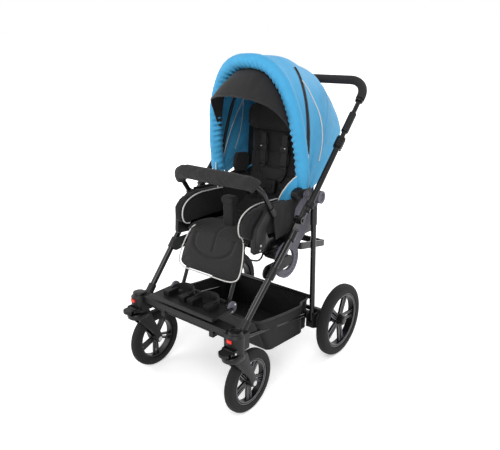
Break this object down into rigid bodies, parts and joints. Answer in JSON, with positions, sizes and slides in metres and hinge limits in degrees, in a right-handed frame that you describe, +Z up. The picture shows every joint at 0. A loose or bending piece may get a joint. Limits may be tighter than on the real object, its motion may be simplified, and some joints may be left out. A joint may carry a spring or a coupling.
{
  "type": "special needs buggy",
  "caption": "Folding special needs buggy: tube frame on swivel casters and large rear wheels, tilting padded seat with harness, safety bar, leg rest, canopy and basket.",
  "frame": {"origin": "on the ground below the middle of the buggy's box", "axes": "+Z up, -Y to the front, +X to the child's left"},
  "size_m": [0.6082, 0.8294, 1.1584],
  "materials": {
    "black_tube": "gloss black powder coat",
    "black_plastic": "moulded, fine grain",
    "wheel_plastic": "moulded, satin",
    "grey_plastic": "moulded, fine grain",
    "red_plastic": "moulded, satin",
    "grip_foam": "closed-cell foam",
    "tyre_rubber": "moulded rubber",
    "axle_steel": "zinc-plated",
    "black_cloth": "woven polyester",
    "blue_cloth": "woven polyester"
  },
  "bodies": {
    "chassis": {"front_tube_left": "black_tube", "front_tube_right": "black_tube", "caster_housing_left": "black_plastic", "caster_housing_right": "black_plastic", "cross_members": "black_plastic", "basket_rails": "black_tube", "axle_brackets": "black_plastic", "rear_cross_tube": "black_tube", "seat_brackets": "black_plastic", "basket": "black_cloth"},
    "rear_legs": {"rear_leg_left": "black_tube", "rear_leg_right": "black_tube", "leg_knuckles": "grey_plastic"},
    "handle": {"handle_tube_left": "black_tube", "handle_tube_right": "black_tube"},
    "fold_sleeve_left": {"fold_sleeve_left": "black_plastic"},
    "fold_sleeve_right": {"fold_sleeve_right": "black_plastic"},
    "push_handle": {"push_bar": "black_tube", "handle_grip": "grip_foam"},
    "brake": {"brake_bar": "black_plastic"},
    "seat": {"seat_frame": "black_tube", "tilt_quadrant_left": "grey_plastic", "tilt_quadrant_right": "grey_plastic", "seat_cushion": "black_cloth", "thigh_pads": "black_cloth", "pommel": "black_cloth", "side_panels": "black_cloth", "canopy_middle": "blue_cloth"},
    "safety_bar": {"safety_bar": "black_tube", "bar_cover": "black_cloth"},
    "backrest": {"backrest_shell": "black_plastic", "back_cushion": "black_cloth", "trunk_pads": "black_cloth", "harness": "black_cloth", "buckle": "black_plastic", "canopy_back": "blue_cloth"},
    "headrest": {"headrest": "black_cloth"},
    "buckle_button": {"buckle_button": "black_plastic"},
    "legrest": {"legrest_frame": "black_tube", "calf_pad": "black_cloth"},
    "footplate": {"foot_platform": "black_plastic"},
    "canopy": {"canopy_hoop": "blue_cloth", "canopy_roll": "blue_cloth", "canopy_visor": "black_cloth"},
    "caster_left": {"caster_fork_left": "black_plastic", "front_axle_left": "axle_steel"},
    "front_wheel_left": {"front_rim_left": "wheel_plastic", "front_tyre_left": "tyre_rubber"},
    "caster_lever_left": {"caster_lever_left": "black_plastic"},
    "caster_button_left": {"caster_button_left": "red_plastic"},
    "rear_wheel_left": {"rear_rim_left": "wheel_plastic", "rear_tyre_left": "tyre_rubber"},
    "caster_right": {"caster_fork_right": "black_plastic", "front_axle_right": "axle_steel"},
    "front_wheel_right": {"front_rim_right": "wheel_plastic", "front_tyre_right": "tyre_rubber"},
    "caster_lever_right": {"caster_lever_right": "black_plastic"},
    "caster_button_right": {"caster_button_right": "red_plastic"},
    "rear_wheel_right": {"rear_rim_right": "wheel_plastic", "rear_tyre_right": "tyre_rubber"}
  },
  "joints": [
    {"name": "handle_fold", "type": "hinge", "parent": "chassis", "child": "handle", "pos_m": [0, -0.018, 0.615], "axis": [1, 0, 0], "range_deg": [0, 135]},
    {"name": "leg_lean", "type": "hinge", "parent": "chassis", "child": "rear_legs", "pos_m": [0, 0.101, 0.195], "axis": [1, 0, 0], "range_deg": [0, 6.75]},
    {"name": "handle_height", "type": "slide", "parent": "handle", "child": "push_handle", "axis": [0, 0.6852, 0.7284], "range_m": [0, 0.1]},
    {"name": "foot_brake", "type": "hinge", "parent": "chassis", "child": "brake", "pos_m": [0, 0.196, 0.177], "axis": [-1, 0, 0], "range_deg": [0, 25]},
    {"name": "seat_tilt", "type": "hinge", "parent": "chassis", "child": "seat", "pos_m": [0, -0.04, 0.468], "axis": [-1, 0, 0], "range_deg": [0, 20]},
    {"name": "safety_bar_slide", "type": "slide", "parent": "seat", "child": "safety_bar", "axis": [0, -0.5519, 0.8339], "range_m": [0, 0.06]},
    {"name": "backrest_recline", "type": "hinge", "parent": "seat", "child": "backrest", "pos_m": [0, 0.168, 0.562], "axis": [-1, 0, 0], "range_deg": [0, 25]},
    {"name": "headrest_height", "type": "slide", "parent": "backrest", "child": "headrest", "axis": [0, 0.0785, 0.9969], "range_m": [0, 0.03]},
    {"name": "buckle_press", "type": "slide", "parent": "backrest", "child": "buckle_button", "axis": [0, 0.9969, -0.0785], "range_m": [0, 0.003], "stiffness_N_per_m": 600},
    {"name": "legrest_angle", "type": "hinge", "parent": "seat", "child": "legrest", "pos_m": [0, -0.148, 0.548], "axis": [-1, 0, 0], "range_deg": [0, 60]},
    {"name": "footplate_flip", "type": "hinge", "parent": "legrest", "child": "footplate", "pos_m": [0, -0.24146, 0.34003], "axis": [-1, 0, 0], "range_deg": [0, 50]},
    {"name": "canopy_fold", "type": "hinge", "parent": "seat", "child": "canopy", "pos_m": [0, 0.069, 0.682], "axis": [-1, 0, 0], "range_deg": [0, 30], "deforming": ["canopy_visor"]},
    {"name": "fold_sleeve_left_slide", "type": "slide", "parent": "handle", "child": "fold_sleeve_left", "axis": [0, 0.6852, 0.7284], "range_m": [0, 0.022]},
    {"name": "caster_swivel_left", "type": "hinge", "parent": "chassis", "child": "caster_left", "pos_m": [0.232, -0.345, 0.24], "axis": [0, 0, 1], "continuous": true},
    {"name": "front_wheel_left_spin", "type": "hinge", "parent": "caster_left", "child": "front_wheel_left", "pos_m": [0.232, -0.282, 0.112], "axis": [1, 0, 0], "continuous": true},
    {"name": "caster_lever_left_tip", "type": "hinge", "parent": "chassis", "child": "caster_lever_left", "pos_m": [0.232, -0.377, 0.2663], "axis": [-1, 0, 0], "range_deg": [0, 15]},
    {"name": "caster_button_left_press", "type": "slide", "parent": "chassis", "child": "caster_button_left", "axis": [0, 1, 0], "range_m": [0, 0.003], "stiffness_N_per_m": 800},
    {"name": "rear_wheel_left_spin", "type": "hinge", "parent": "chassis", "child": "rear_wheel_left", "pos_m": [0.278, 0.232, 0.145], "axis": [1, 0, 0], "continuous": true},
    {"name": "fold_sleeve_right_slide", "type": "slide", "parent": "handle", "child": "fold_sleeve_right", "axis": [0, 0.6852, 0.7284], "range_m": [0, 0.022]},
    {"name": "caster_swivel_right", "type": "hinge", "parent": "chassis", "child": "caster_right", "pos_m": [-0.232, -0.345, 0.24], "axis": [0, 0, 1], "continuous": true},
    {"name": "front_wheel_right_spin", "type": "hinge", "parent": "caster_right", "child": "front_wheel_right", "pos_m": [-0.232, -0.282, 0.112], "axis": [1, 0, 0], "continuous": true},
    {"name": "caster_lever_right_tip", "type": "hinge", "parent": "chassis", "child": "caster_lever_right", "pos_m": [-0.232, -0.377, 0.2663], "axis": [-1, 0, 0], "range_deg": [0, 15]},
    {"name": "caster_button_right_press", "type": "slide", "parent": "chassis", "child": "caster_button_right", "axis": [0, 1, 0], "range_m": [0, 0.003], "stiffness_N_per_m": 800},
    {"name": "rear_wheel_right_spin", "type": "hinge", "parent": "chassis", "child": "rear_wheel_right", "pos_m": [-0.278, 0.232, 0.145], "axis": [1, 0, 0], "continuous": true}
  ],
  "couplings": [
    {"joint": "leg_lean", "follows": "handle_fold", "ratio": 0.05}
  ]
}
